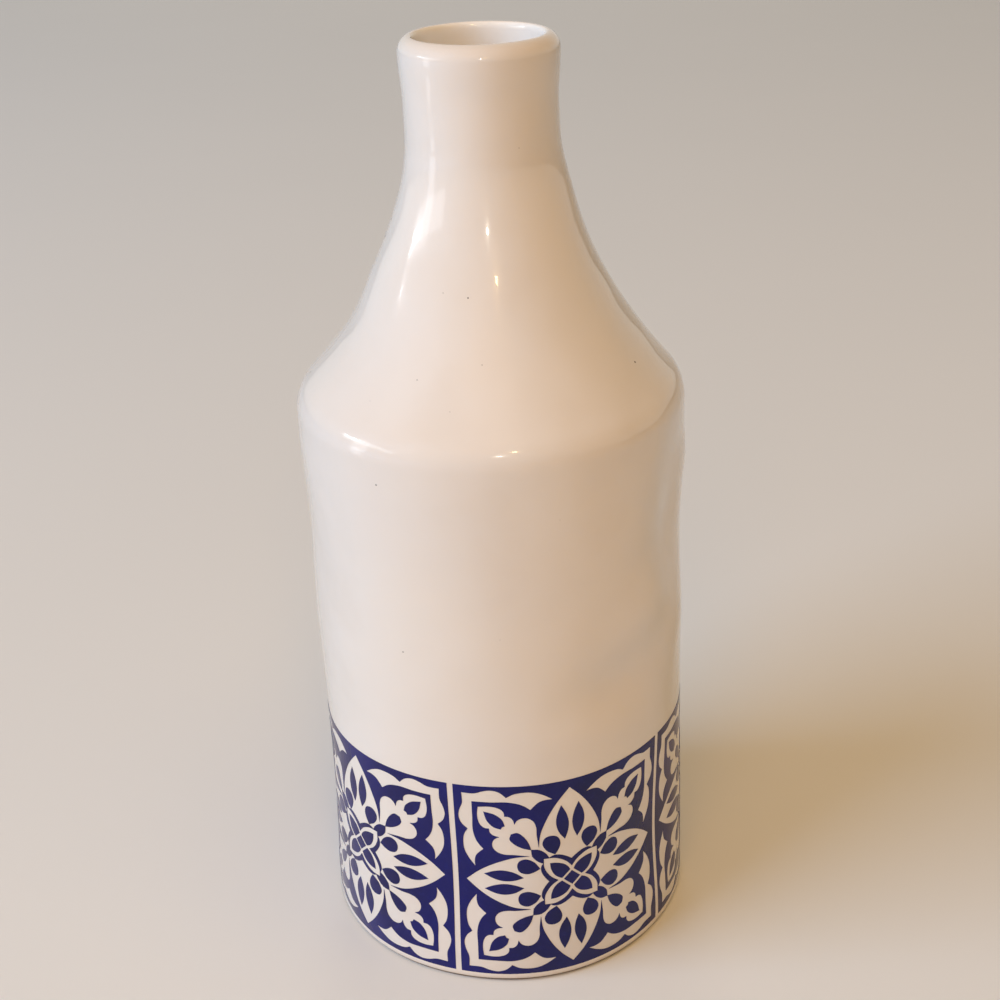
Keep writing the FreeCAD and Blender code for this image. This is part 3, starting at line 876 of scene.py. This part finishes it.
def speck_rays():
    """Rays at the specks of the photograph, and seeded ones from behind and beside the vase."""
    rays = [(CAMERA_PLACE, pixel_aim(across, down), size) for across, down, size in SPECK_PIXELS]
    draw = random.Random(SPECK_SEED)
    for _ in range(HIDDEN_SPECKS):
        way = Vector(facing(draw.uniform(*HIDDEN_TURN)))
        start = way + Vector((0, 0, draw.uniform(*HIDDEN_HEIGHT) * MM))
        rays.append((start, -way, draw.uniform(*HIDDEN_SIZE)))
    return rays


def speck_mesh(glaze):
    """A point where each ray meets the glaze, which keeps the glaze's direction and the speck's size."""
    found = [(*glaze.ray_cast(start, way)[:3], size) for start, way, size in speck_rays()]
    found = [(place, normal, size) for hit, place, normal, size in found if hit]
    mesh = bpy.data.meshes.new("speck_places")
    mesh.from_pydata([place for place, _, _ in found], [], [])
    for name, kind, field, column in (("facing", "FLOAT_VECTOR", "vector", 1),
                                      ("size", "FLOAT", "value", 2)):
        layer = mesh.attributes.new(name, kind, "POINT")
        for item, speck in zip(layer.data, found):
            setattr(item, field, speck[column])
    return mesh


speck_places = speck_mesh(vase)
print("specks on", len(speck_places.vertices), "points")

# %% The iron
IRON_BROWN, IRON_BLACK = "#4A3A30", "#241E1B"
BURNT_COAT = (0.4, 0.6, 1.0, IRON_BLACK)
BURN_SIZE, IRON_ROUGHNESS = 3.0, 0.3


def make_iron():
    material, tree, where = new_material("iron_speck_in_glaze")
    burns = add(tree, NOISE, {"Vector": where, "Scale": cells(BURN_SIZE)})
    colour = paint(tree, IRON_BROWN, (burns, *BURNT_COAT))
    close_material(tree, Base_Color=colour, Roughness=IRON_ROUGHNESS)
    return material


iron = make_iron()
print("iron", iron.name)

# %% The tree that lays the beads
SPECK_RADIUS, SPECK_RAISED = 0.22, 0.35     # millimetres, and height over width


def speck_tree():
    """A small flat bead on each point, turned to the glaze and sized as its point says."""
    tree, given, result = new_tree("lay_specks", (
        ("Places", "Geometry"), ("Radius", "Float"), ("Raised", "Float"), ("Iron", "Material")),
        (("Geometry", "Geometry"),))
    bead = add(tree, "GeometryNodeMeshIcoSphere", {"Radius": given.outputs["Radius"], "Subdivisions": 2})
    shape = add(tree, "ShaderNodeCombineXYZ", (1.0, 1.0, given.outputs["Raised"]))
    flat = add(tree, "GeometryNodeTransform", {"Geometry": bead, "Scale": shape})
    normal = add(tree, "GeometryNodeInputNamedAttribute", {"Name": "facing"}, data_type="FLOAT_VECTOR")
    turn = add(tree, "FunctionNodeAlignRotationToVector", {"Vector": normal}, axis="Z")
    size = add(tree, "GeometryNodeInputNamedAttribute", {"Name": "size"}, data_type="FLOAT")
    laid = add(tree, "GeometryNodeInstanceOnPoints", {
        "Points": given.outputs["Places"], "Instance": flat, "Rotation": turn, "Scale": size})
    real = add(tree, "GeometryNodeRealizeInstances", {"Geometry": laid})
    smooth = add(tree, "GeometryNodeSetShadeSmooth", {"Geometry": real, "Shade Smooth": True})
    dark = add(tree, "GeometryNodeSetMaterial", {"Geometry": smooth, "Material": given.outputs["Iron"]})
    tree.links.new(dark.outputs[0], result.inputs["Geometry"])
    return tree


specks = as_plain_mesh(tree_object("iron_specks", speck_places, speck_tree(), {
    "Radius": SPECK_RADIUS * MM, "Raised": SPECK_RAISED, "Iron": iron}))
print("specks", len(specks.data.polygons), "faces")

# %% [markdown]
# Standing it in a studio
#
# A pale floor, a big cool lamp on the left, two warm ones in front and overhead, and a weak one behind.
# The large lamps give soft shadows but would fill the glaze with white panels, so they aren't mirrored in
# it. A small window in four panes and two ceiling lamps are, and they draw the crisp glints that say
# glass. The lowest pane stands near the vase, because the neck's straight part mirrors what is low.

# %% The floor
FLOOR_COLOUR, FLOOR_SHADE, FLOOR_HALF = "#E6E6E4", "#DCDCDA", 6000.0
MOTTLE_COAT = (0.3, 0.7, 0.10, FLOOR_SHADE)
MOTTLE_SIZE, FLOOR_ROUGHNESS = 260.0, 0.85


def make_floor():
    material, tree, where = new_material("pale_matt_floor")
    mottle = add(tree, NOISE, {"Vector": where, "Scale": cells(MOTTLE_SIZE), "Detail": 3.0})
    colour = paint(tree, FLOOR_COLOUR, (mottle, *MOTTLE_COAT))
    close_material(tree, Base_Color=colour, Roughness=FLOOR_ROUGHNESS)
    mesh = bpy.data.meshes.new("floor")
    reach = FLOOR_HALF * MM
    corners = [(-reach, -reach, 0), (reach, -reach, 0), (reach, reach, 0), (-reach, reach, 0)]
    mesh.from_pydata(corners, [], [(0, 1, 2, 3)])
    mesh.materials.append(material)
    floor = bpy.data.objects.new("floor", mesh)
    scene.collection.objects.link(floor)
    return floor


print("floor", [round(side, 1) for side in make_floor().dimensions], "m")

# %% The lamps
LAMPS_AIM = (0, 0, 130)
DAYLIGHT, BULB, OLD_BULB = "#F4F8FF", "#FFF6E4", "#FFD890"
# name, place and size in millimetres, watts, colour
MIRRORED_LAMPS = (
    ("window_bright", (-1680, -60, 622), (300, 100), 1.0, DAYLIGHT),
    ("window_pale", (-1635, -430, 580), (1100, 200), 1.1, DAYLIGHT),
    ("window_low", (-880, -187, 290), (150, 390), 0.26, DAYLIGHT),
    ("window_foot", (-372, -88, 138), (42, 84), 0.015, DAYLIGHT),
    ("ceiling_near", (40, -1500, 800), (60, 45), 0.7, BULB),
    ("ceiling_far", (230, -1450, 1060), (70, 60), 0.6, OLD_BULB),
)
SOFT_LAMPS = (
    ("soft_left", (-3700, -1500, 2500), (3000, 3000), 182, "#BEDCFF"),
    ("warm_front", (-150, -2300, 2500), (1800, 1800), 33, "#FFBF6E"),
    ("warm_top", (500, -650, 3300), (2600, 2600), 31, "#FFD99A"),
    ("soft_back", (0, 4200, 1900), (1600, 1600), 28, "#FFF3E2"),
)


def lamp(name, place, size, power, colour, mirrored_in_glaze):
    """A rectangular lamp turned to the vase's middle."""
    light = bpy.data.lights.new(name, "AREA")
    light.shape = "RECTANGLE"
    light.size, light.size_y = (length * MM for length in size)
    light.energy = power
    light.color = linear(colour)[:3]
    thing = bpy.data.objects.new(name, light)
    start, end = Vector(place) * MM, Vector(LAMPS_AIM) * MM
    thing.matrix_world = (Matrix.Translation(start)
                          @ (end - start).to_track_quat("-Z", "Y").to_matrix().to_4x4())
    thing.visible_glossy = mirrored_in_glaze
    thing.visible_camera = False
    scene.collection.objects.link(thing)


for lamps, mirrored_in_glaze in ((MIRRORED_LAMPS, True), (SOFT_LAMPS, False)):
    for row in lamps:
        lamp(*row, mirrored_in_glaze)
print("lamps", [light.name for light in bpy.data.lights])

# %% The even light and the backdrop
EVEN_LIGHT, EVEN_STRENGTH, BACKDROP, BACKDROP_STRENGTH = "#FFF5E6", 0.11, "#D6D3CE", 1.0


def make_world():
    """A weak even light from all round, and a pale backdrop for the camera and for mirrored rays."""
    world = bpy.data.worlds.new("studio")
    world.use_nodes = True
    tree = world.node_tree
    tree.nodes.clear()
    even = add(tree, "ShaderNodeBackground", (linear(EVEN_LIGHT), EVEN_STRENGTH))
    backdrop = add(tree, "ShaderNodeBackground", (linear(BACKDROP), BACKDROP_STRENGTH))
    path = add(tree, "ShaderNodeLightPath")
    direct = path.outputs["Is Camera Ray"]
    for ray in ("Is Glossy Ray", "Is Transmission Ray"):
        direct = add(tree, MATH, (direct, path.outputs[ray]), operation="MAXIMUM")
    seen = add(tree, "ShaderNodeMixShader", (direct, even, backdrop))
    add(tree, "ShaderNodeOutputWorld", {"Surface": seen})
    return world


scene.world = make_world()
scene.view_settings.view_transform = "Standard"
print("world", scene.world.name)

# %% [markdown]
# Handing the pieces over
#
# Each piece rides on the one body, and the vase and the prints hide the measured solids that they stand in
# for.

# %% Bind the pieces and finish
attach(vase, "root")
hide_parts("vase_body")
for place, piece in enumerate(prints, start=1):
    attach(piece, "root")
    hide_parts(f"tile_transfer_{place}")
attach(specks, "root")
